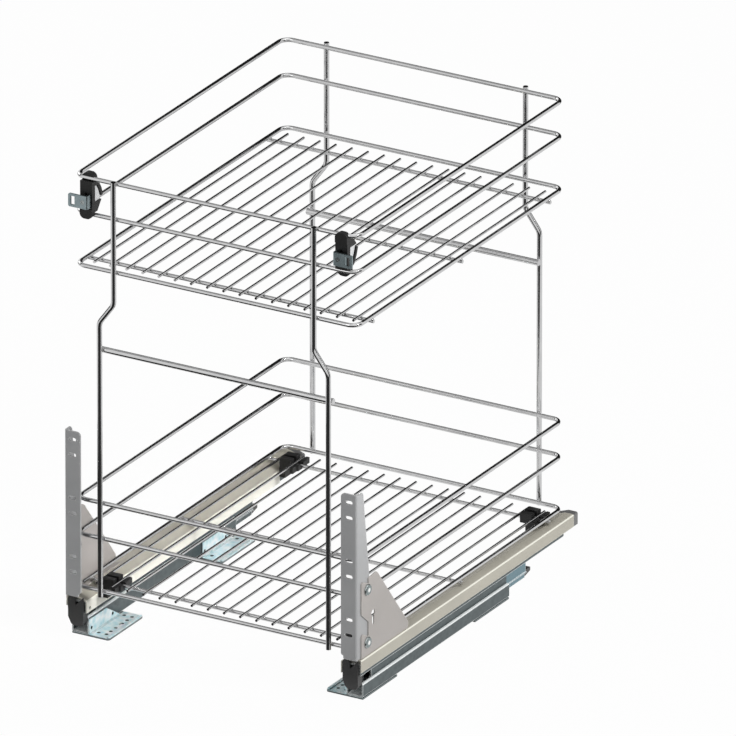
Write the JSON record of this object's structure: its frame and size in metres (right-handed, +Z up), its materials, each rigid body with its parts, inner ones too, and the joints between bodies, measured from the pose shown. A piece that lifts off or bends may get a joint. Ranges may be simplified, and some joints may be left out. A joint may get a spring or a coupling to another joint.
{
  "type": "pull out cabinet basket",
  "caption": "Two-tier chromed wire basket on telescopic floor runners that pulls out of a base cabinet with its door.",
  "frame": {"origin": "middle of the overall box, on the cabinet's floor", "axes": "+Z up, -Y towards the door and out of the cabinet, +X to the right seen from the front"},
  "size_m": [0.3842, 0.492, 0.5616],
  "materials": {
    "chrome_wire": "polished",
    "rail_paint": "satin",
    "bracket_paint": "satin",
    "zinc": "satin",
    "foot_zinc": "satin",
    "roller_steel": "smooth",
    "screw_steel": "smooth",
    "black_plastic": "matte",
    "dark_plastic": "matte",
    "light_plastic": "matte",
    "cage_plastic": "matte"
  },
  "bodies": {
    "base": {"left_cabinet_profile": "zinc", "left_front_foot": "foot_zinc", "left_rear_foot": "foot_zinc", "right_cabinet_profile": "zinc", "right_front_foot": "foot_zinc", "right_rear_foot": "foot_zinc"},
    "left_middle": {"left_middle_profile": "zinc", "left_middle_plug": "dark_plastic"},
    "left_lower_carriage": {"left_lower_cage": "cage_plastic", "left_lower_rollers": "roller_steel"},
    "left_upper_carriage": {"left_upper_cage": "cage_plastic", "left_upper_rollers": "roller_steel"},
    "right_middle": {"right_middle_profile": "zinc", "right_middle_plug": "dark_plastic"},
    "right_lower_carriage": {"right_lower_cage": "cage_plastic", "right_lower_rollers": "roller_steel"},
    "right_upper_carriage": {"right_upper_cage": "cage_plastic", "right_upper_rollers": "roller_steel"},
    "drawer": {"bracket_screws": "screw_steel", "front_cross_bar": "chrome_wire", "hook_screws": "screw_steel", "left_clip_body": "black_plastic", "left_clip_insert": "light_plastic", "left_door_bracket": "bracket_paint", "left_front_claw": "dark_plastic", "left_front_holder": "black_plastic", "left_front_post": "chrome_wire", "left_gusset_plate": "rail_paint", "left_hook_plate": "zinc", "left_rail_cap": "dark_plastic", "left_rear_holder": "black_plastic", "left_rear_post": "chrome_wire", "left_runner_profile": "zinc", "left_side_rail": "rail_paint", "lower_bottom_ring": "chrome_wire", "lower_cross_wires": "chrome_wire", "lower_floor_wires": "chrome_wire", "lower_middle_ring": "chrome_wire", "lower_top_ring": "chrome_wire", "rear_cross_bar": "chrome_wire", "right_clip_body": "black_plastic", "right_clip_insert": "light_plastic", "right_door_bracket": "bracket_paint", "right_front_claw": "dark_plastic", "right_front_holder": "black_plastic", "right_front_post": "chrome_wire", "right_gusset_plate": "rail_paint", "right_hook_plate": "zinc", "right_rail_cap": "dark_plastic", "right_rear_holder": "black_plastic", "right_rear_post": "chrome_wire", "right_runner_profile": "zinc", "right_side_rail": "rail_paint", "upper_bottom_ring": "chrome_wire", "upper_cross_wires": "chrome_wire", "upper_floor_wires": "chrome_wire", "upper_middle_ring": "chrome_wire", "upper_top_ring": "chrome_wire"}
  },
  "joints": [
    {"name": "drawer_slide", "type": "slide", "parent": "base", "child": "drawer", "axis": [0, -1, 0], "range_m": [0, 0.45]},
    {"name": "left_middle_slide", "type": "slide", "parent": "base", "child": "left_middle", "axis": [0, -1, 0], "range_m": [0, 0.225]},
    {"name": "left_lower_carriage_slide", "type": "slide", "parent": "base", "child": "left_lower_carriage", "axis": [0, -1, 0], "range_m": [0, 0.1125]},
    {"name": "left_upper_carriage_slide", "type": "slide", "parent": "base", "child": "left_upper_carriage", "axis": [0, -1, 0], "range_m": [0, 0.3375]},
    {"name": "right_middle_slide", "type": "slide", "parent": "base", "child": "right_middle", "axis": [0, -1, 0], "range_m": [0, 0.225]},
    {"name": "right_lower_carriage_slide", "type": "slide", "parent": "base", "child": "right_lower_carriage", "axis": [0, -1, 0], "range_m": [0, 0.1125]},
    {"name": "right_upper_carriage_slide", "type": "slide", "parent": "base", "child": "right_upper_carriage", "axis": [0, -1, 0], "range_m": [0, 0.3375]}
  ],
  "couplings": [
    {"joint": "left_middle_slide", "follows": "drawer_slide", "ratio": 0.5},
    {"joint": "left_lower_carriage_slide", "follows": "drawer_slide", "ratio": 0.25},
    {"joint": "left_upper_carriage_slide", "follows": "drawer_slide", "ratio": 0.75},
    {"joint": "right_middle_slide", "follows": "drawer_slide", "ratio": 0.5},
    {"joint": "right_lower_carriage_slide", "follows": "drawer_slide", "ratio": 0.25},
    {"joint": "right_upper_carriage_slide", "follows": "drawer_slide", "ratio": 0.75}
  ]
}
